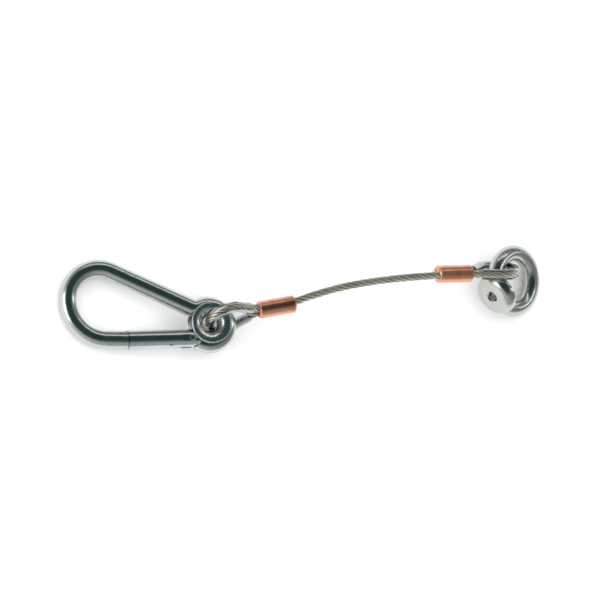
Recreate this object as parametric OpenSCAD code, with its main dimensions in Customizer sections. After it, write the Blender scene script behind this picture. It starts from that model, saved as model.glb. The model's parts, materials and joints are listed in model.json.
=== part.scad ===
// Short wire-rope tether: a sprung snap hook with a captive eyelet at one end, a lifting eye nut at
// the other, and a thimbled rope eye with a swaged copper ferrule at each.
// It lies loosely on the plane z = 0, with the hook at -X and the eye nut at +X. Millimetres.

/* [Snap hook] */
// Diameter of the hook's round wire
wire_d = 9; // [8.6:0.1:9]
// Centreline radius of the narrow eye that holds the eyelet
eye_r = 9.8; // [9.8:0.1:10]
// Distance from the narrow eye's centre to the far end of the hook's centreline
reach = 72.4; // [70:0.2:75]
// Centreline radius of the bend on the spine's side of the wide end
crown_r = 16.2; // [15:0.2:17]
// Centreline radius of the bend on the nose's side of the wide end
heel_r = 19.6; // [19:0.2:20]
// Distance of the nose's axis below the narrow eye's centre
nose_drop = 8.5; // [8.3:0.1:8.7]
// Angle between the spine and the nose
spine_lean = 23; // [22:0.5:24]
// Centreline radius of the bend between the spine and the narrow eye
neck_r = 6; // [5.5:0.5:7]

/* [Gate] */
// Diameter of the gate, a little more than the wire's
gate_d = 9.4; // [9.2:0.1:9.6]
// Hinge axis from the narrow eye's centre
pivot = [-9.2, -7];
// Distance from the hinge axis to the gate's front face
gate_len = 32.7; // [32:0.1:33]
// Thickness of the hook's hinge tongue
tongue_t = 3; // [2.6:0.1:3]
// How far the tongue's round head stands off the hinge axis, which works the plunger
cam_offset = 1.2; // [1:0.1:1.2]
// Radius of the hinge rivet
rivet_r = 1.5; // [1.3:0.1:1.5]

/* [Eyelet] */
// Radius from the eyelet's axis to the middle of its groove
groove_path_r = 9; // [8.9:0.1:9]
// Radius of the groove's section
groove_r = 4.7; // [4.7:0.05:4.75]
// Wall thickness of the flared sheet
eyelet_t = 0.6; // [0.5:0.05:0.6]
// Radius of the two rims
rim_r = 10.2; // [10:0.1:10.2]

/* [Rope and eyes] */
// Diameter of the wire rope
rope_d = 4; // [3.6:0.1:4]
// Centreline radius of the rope round a thimble
bight_r = 10; // [9.8:0.1:10.2]
// Angle between each leg of a rope eye and the eye's axis
leg_angle = 31; // [30:0.5:32]
// Length of a thimble's straight flanks
flank_len = 9; // [6:0.5:9]
// Radial thickness of a thimble's sheet
thimble_t = 0.6; // [0.5:0.05:0.6]
// Distance from a thimble's centre to its ferrule's mouth
mouth_x = 17; // [16.6:0.2:18]
// Outer diameter of a swaged ferrule
ferrule_d = 8.8; // [8.6:0.1:9]
// Length of a swaged ferrule
ferrule_len = 19.5; // [18:0.5:21]

/* [Eye nut] */
// Centreline radius of the ring
ring_r = 14; // [13.5:0.1:14]
// Diameter of the ring's section
ring_d = 8; // [7.6:0.1:8]
// Radius of the round collar
collar_r = 11; // [10:0.1:11]
// Distance from the ring's centre to the collar's face
collar_reach = 18; // [17.5:0.1:18.5]
// Radius of the tapped hole through the collar
tap_r = 2.5; // [2.2:0.1:2.8]

/* [Hidden] */
$fn = 64;

// Where each piece lies: a position and a turn about X, then Y, then Z.
hook_at = [-52.4, -15.9, 11.4];
hook_turn = [0, -5.5, 0];
eyelet_shift = [0.65, 0.6, 0];
hook_eye_at = [-42.8, -12.4, 12.6];
hook_eye_turn = [-25, -3, 15.5];
hook_ferrule_turn = [-26, -6, 11];
nut_eye_at = [101.1, 16.2, 17.3];
nut_eye_turn = [-22, -17.5, 190];
nut_ferrule_turn = [-26, -5, 184];
nut_at = [112.5, 12.3, 10.6];
nut_turn = [-21.3, -19.1, 214.7];

// Points that the free rope passes through between its two ferrules.
REACH = [[3, 0.5, 17], [17, 4.5, 19.5], [33, 7.5, 22.5], [49, 9.5, 25]];

wire_r = wire_d / 2;
gate_r = gate_d / 2;
rope_r = rope_d / 2;
channel_r = rope_r + 0.05;
thimble_r = channel_r + thimble_t;
leg_gap = rope_r + 0.05;
rope_stub = 0.4;
rope_play = 0.02;
play = 0.25;
rivet_play = 0.05;
seam = 0.4;
over = 20;
// Lengths that meet end to end differ by this in radius, and the thinner one laps into the thicker.
step = 0.01;
lap = 0.15;

crown_c = [crown_r - reach, heel_r - nose_drop];
heel_c = [heel_r - reach, heel_r - nose_drop];
spine_out = [sin(spine_lean), cos(spine_lean)];
spine_way = [cos(spine_lean), -sin(spine_lean)];
spine_off = crown_c * spine_out + crown_r;
neck_c = (spine_off + neck_r) * spine_out
    - sqrt(pow(eye_r + neck_r, 2) - pow(spine_off + neck_r, 2)) * spine_way;
neck_turn = atan2(neck_c.y, neck_c.x);
eye_end = -136;

// The gate along its own X axis: hinge slot, spring bore, and the T-shaped head at its tip.
gate_turn = 182.6;
tongue_r = 3.4;
tongue_play = 0.1;
ear_t = 4.4;
slot_x = 5.4;
bore_r = rivet_r + 0.08;
bore_end = 24;
plunger_len = 5.6;
head_len = 3.6;
neck_len = 1.4;
head_t = 3;
latch_floor = 2;
nose_gap = 3;
cam_gap = 0.02;

function turned(p, a) =
    let (x = [p.x, p.y * cos(a.x) - p.z * sin(a.x), p.y * sin(a.x) + p.z * cos(a.x)],
         y = [x.x * cos(a.y) + x.z * sin(a.y), x.y, x.z * cos(a.y) - x.x * sin(a.y)])
    [y.x * cos(a.z) - y.y * sin(a.z), y.x * sin(a.z) + y.y * cos(a.z), y.z];

function placed(p, at, turn) = at + turned(p, turn);

function unit(v) = v / norm(v);

module place(at, turn) translate(at) rotate(turn) children();

module on_hook() place(hook_at, hook_turn) children();

module on_gate() on_hook() translate([pivot.x, pivot.y, 0]) rotate([0, 0, gate_turn]) children();

// An arc of the hook's wire about the Z axis, made thinner by some steps and longer at its ends.
module bend(path_r, steps, from, to, lap_from = lap, lap_to = lap) {
    start = from - lap_from / path_r * 180 / PI;
    end = to + lap_to / path_r * 180 / PI;
    rotate([0, 0, start])
        rotate_extrude(angle = end - start)
            translate([path_r, 0])
                circle(r = wire_r - steps * step);
}

// A straight round bar along X.
module bar(r, from, to) translate([from, 0, 0]) rotate([0, 90, 0]) cylinder(r = r, h = to - from);

// A straight length of the hook's wire between two points of its plane.
module wire(from, to)
    translate([from.x, from.y, 0])
        rotate([0, 0, atan2(to.y - from.y, to.x - from.x)])
            bar(wire_r, 0, norm(to - from));

module box(low, high) translate(low) cube(high - low);

// Room for the gate's T-shaped head in the nose, open on the hook's inside.
module latch_room() {
    box([gate_len - nose_gap, -over, -over], [gate_len + seam, over, over]);
    box([gate_len, -over, -tongue_t / 2 - play],
        [gate_len + neck_len, latch_floor + play, tongue_t / 2 + play]);
    box([gate_len + neck_len - play, -over, -head_t - play],
        [gate_len + head_len + play, latch_floor + play, head_t + play]);
}

module rivet_hole(r) translate([0, 0, -over / 2]) cylinder(r = r, h = over);

// The round head that stands in the gate's slot, with a root that joins it to the hook's wire.
module tongue() {
    root_turn = 150;
    root = [4, 6];
    translate([0, 0, -tongue_t / 2]) {
        translate([0, -cam_offset, 0]) cylinder(r = tongue_r, h = tongue_t);
        rotate([0, 0, root_turn]) translate([0, -root.y / 2, 0]) cube([root.x, root.y, tongue_t]);
    }
}

module hook_body() color("silver") {
    on_hook() difference() {
        union() {
            wire([heel_c.x, -nose_drop], [pivot.x - gate_len + nose_gap / 2, -nose_drop]);
            translate(heel_c) bend(heel_r, 1, 180, 270, lap_from = 0);
            translate(crown_c) bend(crown_r, 2, 90 - spine_lean, 180);
            wire(crown_c + crown_r * spine_out,
                 spine_off * spine_out + (neck_c * spine_way) * spine_way);
            translate(neck_c) bend(neck_r, 1, 270 - spine_lean, neck_turn + 180, lap_to = 0);
            bend(eye_r, 2, eye_end, neck_turn, lap_from = 0);
        }
        translate([pivot.x, pivot.y, 0]) {
            rivet_hole(rivet_r + rivet_play);
            for (side = [0, 180])
                rotate([side, 0, 0]) translate([0, 0, tongue_t / 2]) cylinder(r = gate_r + play, h = over);
            rotate([0, 0, gate_turn]) latch_room();
        }
    }
    on_gate() difference() {
        tongue();
        rivet_hole(rivet_r + rivet_play);
    }
}

// The gate's slotted end, flat on both faces and round at the hinge.
module ears() intersection() {
    bar(gate_r, -gate_r, slot_x);
    box([-over, -over, -ear_t], [over, over, ear_t]);
    union() {
        rivet_hole(gate_r);
        box([0, -over, -over], [over, over, over]);
    }
}

// The T-shaped head that drops into the nose when the gate is shut.
module latch_head() intersection() {
    bar(gate_r - seam / 4, gate_len - seam, gate_len + head_len);
    union() {
        box([0, -over, -tongue_t / 2], [gate_len + head_len, latch_floor, tongue_t / 2]);
        box([gate_len + neck_len, -over, -head_t], [gate_len + head_len, latch_floor, head_t]);
    }
}

// A stake mark that keeps the spring in its bore
module stake_mark() {
    mark_x = 11;
    mark_r = 0.8;
    depth = 0.7;
    translate([mark_x, 0, 0]) rotate([-45, 0, 0]) translate([0, 0, gate_r - depth])
        cylinder(r = mark_r, h = 2 * depth);
}

module gate() color("gainsboro") on_gate() difference() {
    union() {
        bar(gate_r, slot_x - seam, gate_len);
        ears();
        latch_head();
    }
    box([-over, -over, -tongue_t / 2 - tongue_play], [slot_x, over, tongue_t / 2 + tongue_play]);
    rivet_hole(rivet_r);
    bar(bore_r, slot_x - 1, bore_end);
    stake_mark();
}

module hinge_rivet() color("gray") on_gate() union() {
    head_rise = 0.35;
    head_step = 0.4;
    translate([0, 0, -ear_t]) cylinder(r = rivet_r, h = 2 * ear_t);
    for (side = [0, 180])
        rotate([side, 0, 0]) translate([0, 0, ear_t])
            cylinder(r1 = rivet_r + head_step, r2 = rivet_r - head_step, h = head_rise);
}

// A round tube through a list of points, with its rings carried along without twist.
module swept_tube(path, r, sides) {
    last = len(path) - 1;
    ways = [for (i = [0:last]) unit(path[min(i + 1, last)] - path[max(i - 1, 0)])];
    start = unit(cross(ways[0], abs(ways[0].z) < 0.9 ? [0, 0, 1] : [1, 0, 0]));
    across = [for (i = 0, u = start; i <= last;
                   u = i < last ? unit(u - (u * ways[i + 1]) * ways[i + 1]) : u, i = i + 1) u];
    points = [for (i = [0:last], k = [0:sides - 1])
        path[i] + r * (cos(360 * k / sides) * across[i]
                       + sin(360 * k / sides) * cross(ways[i], across[i]))];
    polyhedron(points, concat(
        [[for (k = [0:sides - 1]) k]],
        [for (i = [0:last - 1], k = [0:sides - 1])
            let (a = i * sides + k, b = i * sides + (k + 1) % sides)
            each [[a, a + sides, b + sides], [a, b + sides, b]]],
        [[for (k = [sides - 1:-1:0]) last * sides + k]]));
}

module gate_spring() color("dimgray") {
    coil_r = 1.2;
    strand_r = 0.25;
    turns = 9;
    steps = 10;
    end_gap = 0.02;
    from = tongue_r + plunger_len + strand_r + end_gap;
    pitch = (bore_end - strand_r - end_gap - from) / turns;
    on_gate() swept_tube([for (i = [0:turns * steps])
        [from + i * pitch / steps, coil_r * cos(360 * i / steps), coil_r * sin(360 * i / steps)]],
        strand_r, 5);
}

module spring_plunger() color("darkgray") on_gate()
    bar(rivet_r, tongue_r + cam_gap, tongue_r + plunger_len);

module eyelet() color("whitesmoke") on_hook() translate(eyelet_shift) union() {
    bead_r = 0.4;
    intersection() {
        rotate_extrude() translate([groove_path_r, 0]) difference() {
            circle(r = groove_r + eyelet_t);
            circle(r = groove_r);
        }
        translate([0, 0, -over / 2]) cylinder(r = rim_r, h = over);
    }
    // The turned edge of each rim
    for (side = [-1, 1])
        rotate_extrude()
            translate([rim_r - bead_r / 2, side * (groove_r + eyelet_t / 2)])
                circle(r = bead_r);
}

// Half-round channel that the rope lies in: the section of a thimble, open towards +X.
module channel(inset = 0) difference() {
    lip_x = 0.8;
    circle(r = thimble_r - inset);
    circle(r = channel_r + inset);
    translate([lip_x - inset, -over / 2]) square(over);
}

module thimble(at, turn) place(at, turn) union() {
    rotate([90, 0, 0]) rotate([0, 0, 90 - leg_angle])
        rotate_extrude(angle = 180 + 2 * leg_angle) translate([bight_r, 0]) channel();
    for (side = [0, 1])
        mirror([0, 0, side])
            translate([bight_r * sin(leg_angle), 0, bight_r * cos(leg_angle)])
                rotate([0, 90 + leg_angle, 0]) rotate([0, 0, 180])
                    translate([0, 0, -lap]) linear_extrude(flank_len + lap) channel(step);
}

module thimble_hook_end() color("lightgray") thimble(hook_eye_at, hook_eye_turn);

module thimble_nut_end() color("lightgray") thimble(nut_eye_at, nut_eye_turn);

function mouth(at, turn) = placed([mouth_x, 0, 0], at, turn);

module ferrule(at, turn) place(at, turn) difference() {
    chamfer = 0.9;
    r = ferrule_d / 2;
    rotate([0, 90, 0]) union() {
        cylinder(r1 = r - chamfer, r2 = r, h = chamfer);
        translate([0, 0, chamfer]) cylinder(r = r, h = ferrule_len - 2 * chamfer);
        translate([0, 0, ferrule_len - chamfer]) cylinder(r1 = r, r2 = r - chamfer, h = chamfer);
    }
    for (z = [-leg_gap, leg_gap])
        translate([0, 0, z]) bar(rope_r, -1, ferrule_len + 1);
}

module ferrule_hook_end() color("peru")
    ferrule(mouth(hook_eye_at, hook_eye_turn), hook_ferrule_turn);

module ferrule_nut_end() color("peru")
    ferrule(mouth(nut_eye_at, nut_eye_turn), nut_ferrule_turn);

// A bend from a to c that leaves a and reaches c along the lines to b.
function curve(a, b, c, steps) =
    [for (i = [1:steps]) let (t = i / steps) (1 - t) * (1 - t) * a + 2 * t * (1 - t) * b + t * t * c];

// The rope's way round one eye, from the dead end inside the ferrule to the live end.
function eye_route(at, turn, ferrule_turn) =
    let (lip = mouth(at, turn),
         corner_x = bight_r * sin(leg_angle)
             + (bight_r * cos(leg_angle) - leg_gap) / tan(leg_angle),
         leg = function (side) let (p = [bight_r * sin(leg_angle), 0, side * bight_r * cos(leg_angle)])
             placed(p + flank_len * [cos(leg_angle), 0, -side * sin(leg_angle)], at, turn),
         corner = function (side) placed([corner_x, 0, side * leg_gap], at, turn),
         inside = function (x, side) placed([x, 0, side * leg_gap], lip, ferrule_turn),
         first = 90 - leg_angle,
         arc = [for (i = [0:14]) let (a = -first - i * (360 - 2 * first) / 14)
             placed([bight_r * cos(a), 0, bight_r * sin(a)], at, turn)])
    concat([inside(ferrule_len + rope_stub, -1), inside(ferrule_len / 2, -1), inside(0, -1)],
           curve(inside(0, -1), corner(-1), leg(-1), 3),
           arc,
           [leg(1)],
           curve(leg(1), corner(1), inside(0, 1), 3),
           [inside(ferrule_len / 2, 1), inside(ferrule_len, 1)]);

function reversed(list) = [for (i = [len(list) - 1:-1:0]) list[i]];

// A smooth curve through the inner points of a list, by Catmull and Rom's rule.
function smooth(p, steps) = [for (i = [1:len(p) - 3], k = [0:steps - 1])
    let (t = k / steps)
    0.5 * (2 * p[i] + (p[i + 1] - p[i - 1]) * t
        + (2 * p[i - 1] - 5 * p[i] + 4 * p[i + 1] - p[i + 2]) * t * t
        + (3 * p[i] - p[i - 1] - 3 * p[i + 1] + p[i + 2]) * t * t * t)];

function rope_route() =
    let (first = eye_route(hook_eye_at, hook_eye_turn, hook_ferrule_turn),
         second = reversed(eye_route(nut_eye_at, nut_eye_turn, nut_ferrule_turn)),
         n = len(first),
         free = smooth(concat([first[n - 2], first[n - 1]], REACH, [second[0], second[1]]), 3))
    concat([for (i = [0:n - 2]) first[i]], free, second);

module wire_rope() color("darkkhaki") swept_tube(rope_route(), rope_r - rope_play, 10);

module eye_nut() color("lightsteelblue") place(nut_at, nut_turn) difference() {
    root_x = 9.8;
    root_r = 6.4;
    flare = 3;
    edge_r = 4.6;
    disc_t = collar_reach - root_x - flare;
    countersink = 0.6;
    union() {
        rotate_extrude() translate([ring_r, 0]) circle(d = ring_d);
        translate([root_x, 0, 0]) rotate([0, 90, 0]) {
            cylinder(r1 = root_r, r2 = collar_r, h = flare);
            translate([0, 0, flare]) rotate_extrude() {
                square([collar_r, disc_t - edge_r]);
                square([collar_r - edge_r, disc_t]);
                translate([collar_r - edge_r, disc_t - edge_r]) intersection() {
                    circle(r = edge_r);
                    square(edge_r);
                }
            }
        }
    }
    bar(tap_r, root_x / 2, collar_reach + 1);
    translate([collar_reach - countersink, 0, 0]) rotate([0, 90, 0])
        cylinder(r1 = tap_r, r2 = tap_r + 2 * countersink, h = 2 * countersink);
}

hook_body();
gate();
hinge_rivet();
gate_spring();
spring_plunger();
eyelet();
wire_rope();
thimble_hook_end();
thimble_nut_end();
ferrule_hook_end();
ferrule_nut_end();
eye_nut();
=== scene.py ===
import json
import math

import bpy
from mathutils import Matrix, Vector

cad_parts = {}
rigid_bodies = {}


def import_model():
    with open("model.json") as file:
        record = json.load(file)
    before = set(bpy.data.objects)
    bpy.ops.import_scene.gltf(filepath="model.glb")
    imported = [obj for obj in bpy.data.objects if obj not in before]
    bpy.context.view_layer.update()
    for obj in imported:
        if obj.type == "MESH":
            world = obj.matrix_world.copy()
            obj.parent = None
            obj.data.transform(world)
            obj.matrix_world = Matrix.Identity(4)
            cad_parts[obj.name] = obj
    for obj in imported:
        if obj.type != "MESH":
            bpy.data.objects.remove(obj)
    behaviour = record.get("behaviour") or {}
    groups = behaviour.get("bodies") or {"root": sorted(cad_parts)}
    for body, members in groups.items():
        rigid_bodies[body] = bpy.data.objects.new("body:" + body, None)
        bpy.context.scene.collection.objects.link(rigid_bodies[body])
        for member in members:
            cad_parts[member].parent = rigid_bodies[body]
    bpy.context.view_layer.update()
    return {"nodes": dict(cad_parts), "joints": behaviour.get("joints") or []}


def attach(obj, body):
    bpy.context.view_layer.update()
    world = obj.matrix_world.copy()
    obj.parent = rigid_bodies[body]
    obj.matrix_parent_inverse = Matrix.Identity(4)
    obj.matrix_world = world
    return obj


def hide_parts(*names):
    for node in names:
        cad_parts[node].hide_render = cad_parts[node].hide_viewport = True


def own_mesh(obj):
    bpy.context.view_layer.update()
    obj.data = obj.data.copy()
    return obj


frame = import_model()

# A wire-rope tether with a snap hook and an eye nut: its materials, its stranded rope, light and
# camera. Metres throughout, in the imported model's frame.

MM = 0.001


# ---------------------------------------------------------------- camera

CAMERA_RIGHT = Vector((0.9346, -0.0203, 0.355))
CAMERA_UP = Vector((-0.0346, 0.9885, 0.147))
TARGET = Vector((1.4, 0.3, 0)) * MM
CAMERA_DISTANCE = 8.0
VIEW_WIDTH = 0.301
SENSOR_MM = 36


def camera_axes():
    """The camera's own right, up and back directions, made exactly square to each other."""
    right = CAMERA_RIGHT.normalized()
    back = right.cross(CAMERA_UP).normalized()
    return right, back.cross(right), back


def make_camera():
    right, up, back = camera_axes()
    data = bpy.data.cameras.new("camera")
    data.sensor_width = SENSOR_MM
    data.lens = SENSOR_MM * CAMERA_DISTANCE / VIEW_WIDTH
    data.clip_start = 0.1
    data.clip_end = 40
    camera = bpy.data.objects.new("camera", data)
    turn = Matrix((right, up, back)).transposed().to_4x4()
    camera.matrix_world = Matrix.Translation(TARGET + back * CAMERA_DISTANCE) @ turn
    bpy.context.scene.collection.objects.link(camera)
    bpy.context.scene.camera = camera


make_camera()


# ---------------------------------------------------------------- rope

# The route is worked out in millimetres, as in the CAD source and from the same round numbers. The
# turns are in degrees about X, then Y, then Z.
HOOK_EYE_AT = Vector((-42.8, -12.4, 12.6))
HOOK_EYE_TURN = (-25, -3, 15.5)
HOOK_FERRULE_TURN = (-26, -6, 11)
NUT_EYE_AT = Vector((101.1, 16.2, 17.3))
NUT_EYE_TURN = (-22, -17.5, 190)
NUT_FERRULE_TURN = (-26, -5, 184)
REACH = [Vector(p) for p in ((3, 0.5, 17), (17, 4.5, 19.5), (33, 7.5, 22.5), (49, 9.5, 25))]
ROPE_R = 2.0
BIGHT_R = 10.0
LEG_ANGLE = math.radians(31)
FLANK_LEN = 9.0
MOUTH_X = 17.0
FERRULE_LEN = 19.5
LEG_GAP = ROPE_R + 0.05
DEAD_END = 0.4

STRANDS = 6
STRAND_R = 0.67
STRAND_PATH_R = ROPE_R - STRAND_R
CORE_R = 0.68
LAY = 22.0
WIRE_LAY = 9.0
WIRES = 6
WIRE_RELIEF = 0.09
RING_SIDES = 18
RING_STEP = 0.7


def placed(point, at, turn):
    """A point turned about X, then Y, then Z, in degrees, and moved."""
    result = Vector(point)
    for axis, angle in zip("XYZ", turn):
        result = Matrix.Rotation(math.radians(angle), 3, axis) @ result
    return result + at


def mouth(at, turn):
    return placed((MOUTH_X, 0, 0), at, turn)


def bezier(a, b, c, steps):
    """Points of the curve that leaves a towards b and reaches c, without a."""
    shares = [i / steps for i in range(1, steps + 1)]
    return [(1 - t) ** 2 * a + 2 * t * (1 - t) * b + t * t * c for t in shares]


def eye_route(at, turn, ferrule_turn, steps):
    """The rope's way round one eye, from the dead end in the ferrule to the live end."""
    lip = mouth(at, turn)
    leg_x = BIGHT_R * math.sin(LEG_ANGLE)
    leg_z = BIGHT_R * math.cos(LEG_ANGLE)
    corner_x = leg_x + (leg_z - LEG_GAP) / math.tan(LEG_ANGLE)

    def leg(side):
        along = (math.cos(LEG_ANGLE), 0, -side * math.sin(LEG_ANGLE))
        return placed(Vector((leg_x, 0, side * leg_z)) + FLANK_LEN * Vector(along), at, turn)

    def corner(side):
        return placed((corner_x, 0, side * LEG_GAP), at, turn)

    def inside(x, side):
        return placed((x, 0, side * LEG_GAP), lip, ferrule_turn)

    first = math.pi / 2 - LEG_ANGLE
    sweep = 2 * math.pi - 2 * first
    angles = [-first - i * sweep / steps for i in range(steps + 1)]
    arc = [placed((BIGHT_R * math.cos(a), 0, BIGHT_R * math.sin(a)), at, turn) for a in angles]
    return (
        [inside(FERRULE_LEN + DEAD_END, -1), inside(FERRULE_LEN / 2, -1), inside(0, -1)]
        + bezier(inside(0, -1), corner(-1), leg(-1), steps // 3)
        + arc
        + [leg(1)]
        + bezier(leg(1), corner(1), inside(0, 1), steps // 3)
        + [inside(FERRULE_LEN / 2, 1), inside(FERRULE_LEN, 1)]
    )


def smooth(p, steps):
    """A smooth curve through the inner points of a list, by Catmull and Rom's rule."""
    curve = []
    for i in range(1, len(p) - 2):
        for k in range(steps):
            t = k / steps
            curve.append(
                0.5
                * (
                    2 * p[i]
                    + (p[i + 1] - p[i - 1]) * t
                    + (2 * p[i - 1] - 5 * p[i] + 4 * p[i + 1] - p[i + 2]) * t * t
                    + (3 * p[i] - p[i - 1] - 3 * p[i + 1] + p[i + 2]) * t**3
                )
            )
    return curve


def rope_route(steps=24):
    first = eye_route(HOOK_EYE_AT, HOOK_EYE_TURN, HOOK_FERRULE_TURN, steps)
    second = eye_route(NUT_EYE_AT, NUT_EYE_TURN, NUT_FERRULE_TURN, steps)[::-1]
    free = smooth(first[-2:] + REACH + second[:2], steps // 3)
    return first[:-1] + free + second


def resampled(points, step):
    """The same line in equal steps."""
    lengths = [0.0]
    for a, b in zip(points, points[1:]):
        lengths.append(lengths[-1] + (b - a).length)
    count = round(lengths[-1] / step)
    result = []
    at = 0
    for i in range(count + 1):
        want = lengths[-1] * i / count
        while at < len(points) - 2 and lengths[at + 1] < want:
            at += 1
        share = (want - lengths[at]) / (lengths[at + 1] - lengths[at])
        result.append(points[at].lerp(points[at + 1], share))
    return result


def carried_frames(points):
    """A direction square to the line at each point, carried along without twist."""
    ways = []
    last = len(points) - 1
    for i in range(last + 1):
        ways.append((points[min(i + 1, last)] - points[max(i - 1, 0)]).normalized())
    across = [ways[0].orthogonal().normalized()]
    for way in ways[1:]:
        u = across[-1]
        across.append((u - u.dot(way) * way).normalized())
    return ways, across


def add_tube(mesh_data, centres, sections):
    """Adds a closed tube to (vertices, faces): one ring of offsets about each centre."""
    vertices, faces = mesh_data
    start = len(vertices)
    sides = len(sections[0])
    for centre, ring in zip(centres, sections):
        vertices.extend((centre + offset) * MM for offset in ring)
    for i in range(len(centres) - 1):
        for k in range(sides):
            a = start + i * sides + k
            b = start + i * sides + (k + 1) % sides
            faces.append((a, b, b + sides, a + sides))
    faces.append(tuple(start + k for k in reversed(range(sides))))
    end = start + (len(centres) - 1) * sides
    faces.append(tuple(end + k for k in range(sides)))


def add_object(name, mesh_data):
    """A smooth-shaded object from (vertices, faces)."""
    vertices, faces = mesh_data
    mesh = bpy.data.meshes.new(name)
    mesh.from_pydata(vertices, [], faces)
    mesh.polygons.foreach_set("use_smooth", [True] * len(mesh.polygons))
    piece = bpy.data.objects.new(name, mesh)
    bpy.context.scene.collection.objects.link(piece)
    return piece


def make_rope(route):
    """Six right-hand strands round a core; each strand's outline shows its own six wires."""
    centres = resampled(route, RING_STEP)
    ways, across = carried_frames(centres)
    step = sum((b - a).length for a, b in zip(centres, centres[1:])) / (len(centres) - 1)
    mesh_data = ([], [])
    frames = [(w, u, w.cross(u)) for w, u in zip(ways, across)]
    round_angles = [2 * math.pi * k / RING_SIDES for k in range(RING_SIDES)]

    def wire_outline(radius, turn):
        return [
            (radius - WIRE_RELIEF * (1 - abs(math.cos(WIRES / 2 * (a + turn)))), a)
            for a in round_angles
        ]

    for strand in range(STRANDS):
        line = []
        rings = []
        for i, (way, u, v) in enumerate(frames):
            angle = 2 * math.pi * (strand / STRANDS + i * step / LAY)
            out = math.cos(angle) * u + math.sin(angle) * v
            side = way.cross(out)
            line.append(centres[i] + STRAND_PATH_R * out)
            outline = wire_outline(STRAND_R, 2 * math.pi * i * step / WIRE_LAY)
            rings.append([r * (math.cos(a) * out + math.sin(a) * side) for r, a in outline])
        add_tube(mesh_data, line, rings)
    core_rings = []
    for way, u, v in frames:
        core_rings.append([CORE_R * (math.cos(a) * u + math.sin(a) * v) for a in round_angles])
    add_tube(mesh_data, centres, core_rings)

    return add_object("rope_strands", mesh_data)


ROUTE = rope_route()
rope = make_rope(ROUTE)
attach(rope, "lanyard")
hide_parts("wire_rope")


# ---------------------------------------------------------------- gate spring

SPRING_PATH_R = 1.2
SPRING_WIRE_R = 0.25
SPRING_TURNS = 9
SPRING_STEPS = 24
SPRING_SIDES = 12


def make_spring(joint):
    """A smooth coil in the place of the CAD's plain one, as long as the plain one along the
    plunger's axis.
    """
    points = [v.co / MM for v in frame["nodes"]["gate_spring"].data.vertices]
    axis = Vector(joint["axis"]).normalized()
    middle = sum(points, Vector()) / len(points)
    reach = max((p - middle).dot(axis) for p in points)
    run = reach - SPRING_WIRE_R
    u = axis.orthogonal().normalized()
    v = axis.cross(u)
    centres = []
    for i in range(SPRING_TURNS * SPRING_STEPS + 1):
        angle = 2 * math.pi * i / SPRING_STEPS
        along = run * (2 * i / (SPRING_TURNS * SPRING_STEPS) - 1)
        out = math.cos(angle) * u + math.sin(angle) * v
        centres.append(middle + along * axis + SPRING_PATH_R * out)
    ring_angles = [2 * math.pi * k / SPRING_SIDES for k in range(SPRING_SIDES)]
    sections = []
    for way, across in zip(*carried_frames(centres)):
        side = way.cross(across)
        turned = [math.cos(a) * across + math.sin(a) * side for a in ring_angles]
        sections.append([SPRING_WIRE_R * offset for offset in turned])
    mesh_data = ([], [])
    add_tube(mesh_data, centres, sections)
    spring = add_object("spring_coil", mesh_data)
    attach(spring, joint["parent"])
    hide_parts("gate_spring")
    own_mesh(spring)
    return spring


spring = make_spring(next(j for j in frame["joints"] if j["name"] == "plunger_slide"))


# ---------------------------------------------------------------- materials


# How many features the tint's clouds, the drawn lines and the specks have in a metre
CLOUD_SCALE = 160
LINE_SCALE = 900
SPECK_SCALE = 2600


class Nodes:
    """A short way to write a node tree: add a node, set its values, link its inputs."""

    def __init__(self, tree):
        self.tree = tree

    def add(self, kind, values=None, **settings):
        node = self.tree.nodes.new(kind)
        for name, value in settings.items():
            setattr(node, name, value)
        for name, value in (values or {}).items():
            if isinstance(value, bpy.types.NodeSocket):
                self.tree.links.new(value, node.inputs[name])
            else:
                node.inputs[name].default_value = value
        return node


def noise(n, where, scale, detail=4, roughness=0.55):
    values = {"Vector": where, "Scale": scale, "Detail": detail, "Roughness": roughness}
    return n.add("ShaderNodeTexNoise", values).outputs["Fac"]


def remap(n, value, low, high, to_low, to_high):
    values = {"Value": value, 1: low, 2: high, 3: to_low, 4: to_high}
    return n.add("ShaderNodeMapRange", values).outputs["Result"]


def blended(n, factor, a, b):
    node = n.add("ShaderNodeMix", data_type="RGBA")
    for name, value in (("Factor", factor), ("A", a), ("B", b)):
        sockets = [s for s in node.inputs if s.name == name and s.enabled]
        if isinstance(value, bpy.types.NodeSocket):
            n.tree.links.new(value, sockets[0])
        else:
            sockets[0].default_value = value
    return [s for s in node.outputs if s.enabled][0]


def metal(name, colour, stain, roughness, along=(1, 1, 1), bump=0.02, stain_share=0.5):
    """Plated or bare metal: a tint that varies, fine drawn lines and small dents."""
    material = bpy.data.materials.new(name)
    material.use_nodes = True
    n = Nodes(material.node_tree)
    shader = material.node_tree.nodes["Principled BSDF"]
    where = n.add("ShaderNodeTexCoord").outputs["Object"]
    stretched = n.add("ShaderNodeMapping", {"Vector": where, "Scale": along}).outputs["Vector"]
    clouds = noise(n, where, CLOUD_SCALE, detail=5)
    lines = noise(n, stretched, LINE_SCALE, detail=3)
    specks = noise(n, where, SPECK_SCALE, detail=2)
    amount = remap(n, clouds, 0.42, 0.68, 0.0, stain_share)
    tint = blended(n, amount, (*colour, 1), (*stain, 1))
    rough = n.add("ShaderNodeMath", {0: remap(n, lines, 0.3, 0.7, -0.05, 0.07), 1: roughness})
    height = n.add("ShaderNodeMath", {0: lines, 1: remap(n, specks, 0.35, 0.75, 0.0, 0.6)})
    relief = n.add(
        "ShaderNodeBump", {"Height": height.outputs[0], "Strength": bump, "Distance": 0.0002}
    )
    for socket, value in (
        ("Base Color", tint),
        ("Roughness", rough.outputs[0]),
        ("Normal", relief.outputs["Normal"]),
    ):
        n.tree.links.new(value, shader.inputs[socket])
    shader.inputs["Metallic"].default_value = 1.0
    return material


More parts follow.
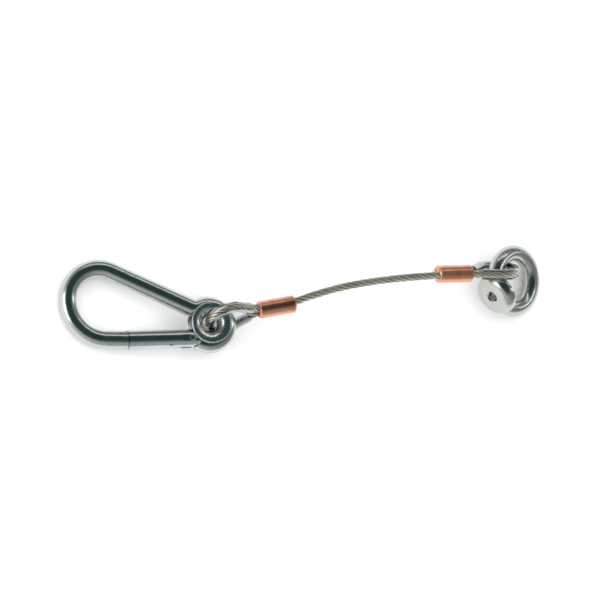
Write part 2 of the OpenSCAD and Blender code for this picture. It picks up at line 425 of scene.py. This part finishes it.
STEEL = (0.52, 0.54, 0.53)
STEEL_STAIN = (0.42, 0.45, 0.43)
COPPER = (0.77, 0.36, 0.24)
COPPER_STAIN = (0.44, 0.16, 0.10)
DRAWN = (0.2, 2.5, 2.5)

THIMBLE = (0.44, 0.46, 0.46)
COPPER_METAL = metal("copper", COPPER, COPPER_STAIN, 0.31, DRAWN, bump=0.004)
THIMBLE_METAL = metal("thimble_steel", THIMBLE, STEEL_STAIN, 0.24)

MATERIALS = {
    "hook_body": metal("hook_steel", STEEL, STEEL_STAIN, 0.2, bump=0.02),
    "gate": metal("gate_steel", (0.54, 0.56, 0.58), STEEL_STAIN, 0.18, bump=0.02),
    "hinge_rivet": metal("rivet_steel", (0.5, 0.5, 0.52), STEEL_STAIN, 0.25),
    "spring_plunger": metal("plunger_steel", (0.45, 0.45, 0.46), (0.3, 0.3, 0.3), 0.3),
    "eyelet": metal("eyelet_steel", (0.80, 0.81, 0.79), (0.62, 0.64, 0.61), 0.22, bump=0.02),
    "thimble_hook_end": THIMBLE_METAL,
    "thimble_nut_end": THIMBLE_METAL,
    "ferrule_hook_end": COPPER_METAL,
    "ferrule_nut_end": COPPER_METAL,
    "eye_nut": metal("nut_steel", (0.50, 0.51, 0.48), STEEL_STAIN, 0.21, bump=0.015),
}


def dress(piece, material):
    """Gives every material slot of a piece one material."""
    if not piece.material_slots:
        piece.data.materials.append(material)
    for slot in piece.material_slots:
        slot.link = "OBJECT"
        slot.material = material


for node, material in MATERIALS.items():
    dress(frame["nodes"][node], material)

dress(spring, metal("spring_steel", (0.35, 0.35, 0.36), (0.2, 0.2, 0.2), 0.35))
dress(rope, metal("rope_wire", (0.68, 0.66, 0.57), (0.38, 0.37, 0.32), 0.36, bump=0.08))


# ---------------------------------------------------------------- floor and light

FLOOR_REACH = 12.0
FLOOR_DROP = 0.0005
CEILING_TINT = (0.026, 0.060, 0.060, 1)
LEFT_WALL_TINT = (0.78, 0.77, 0.74, 1)
RIGHT_WALL_TINT = (0.26, 0.28, 0.28, 1)


def make_floor():
    mesh = bpy.data.meshes.new("floor")
    signs = ((-1, -1), (1, -1), (1, 1), (-1, 1))
    corners = [(x * FLOOR_REACH, y * FLOOR_REACH, -FLOOR_DROP) for x, y in signs]
    mesh.from_pydata(corners, [], [(0, 1, 2, 3)])
    floor = bpy.data.objects.new("floor", mesh)
    material = bpy.data.materials.new("floor")
    material.use_nodes = True
    shader = material.node_tree.nodes["Principled BSDF"]
    shader.inputs["Base Color"].default_value = (0.93, 0.93, 0.93, 1)
    shader.inputs["Roughness"].default_value = 0.9
    mesh.materials.append(material)
    bpy.context.scene.collection.objects.link(floor)


def make_world():
    """A grey studio, lighter on the left, with a dark teal ceiling for the metal to mirror."""
    world = bpy.data.worlds.new("studio")
    bpy.context.scene.world = world
    world.use_nodes = True
    n = Nodes(world.node_tree)
    background = world.node_tree.nodes["Background"]
    right, up, back = camera_axes()
    where = n.add("ShaderNodeTexCoord").outputs["Generated"]

    def along(direction):
        values = {0: where, 1: direction.normalized()}
        return n.add("ShaderNodeVectorMath", values, operation="DOT_PRODUCT").outputs["Value"]

    ceiling = remap(n, along(back + 0.30 * up + 0.16 * right), 0.56, 0.84, 0.0, 1.0)
    walls = remap(n, along(right + 0.5 * up), -0.7, 0.7, 0.0, 1.0)
    wall_tint = blended(n, walls, LEFT_WALL_TINT, RIGHT_WALL_TINT)
    tint = blended(n, ceiling, wall_tint, CEILING_TINT)
    n.tree.links.new(tint, background.inputs["Color"])


def aimed(name, data, direction, distance):
    """A lamp that faces the object from one direction."""
    lamp = bpy.data.objects.new(name, data)
    way = Vector(direction).normalized()
    lamp.location = TARGET + way * distance
    lamp.rotation_mode = "QUATERNION"
    lamp.rotation_quaternion = (-way).to_track_quat("-Z", "Y")
    bpy.context.scene.collection.objects.link(lamp)
    return lamp


def softbox(name, direction, size, radiance, distance=1.2):
    data = bpy.data.lights.new(name, "AREA")
    data.shape = "RECTANGLE"
    data.size, data.size_y = size
    data.energy = radiance * math.pi * size[0] * size[1]
    aimed(name, data, direction, distance)


def overhead(strength):
    """Broad light that brightens the floor and stays out of the mirrored studio."""
    data = bpy.data.lights.new("overhead", "SUN")
    data.energy = strength
    data.angle = math.radians(110)
    aimed("overhead", data, (-0.15, 0.1, 1), 2).visible_glossy = False


bpy.context.scene.view_settings.view_transform = "Standard"
make_floor()
make_world()
overhead(3.3)
softbox("left_panel", (-0.95, -0.05, 0.4), (0.9, 0.6), 2.2)
softbox("back_strip", (0.25, 0.75, 0.62), (1.4, 0.16), 1.6)
softbox("right_strip", (0.85, 0.15, 0.5), (0.14, 0.7), 2.4)
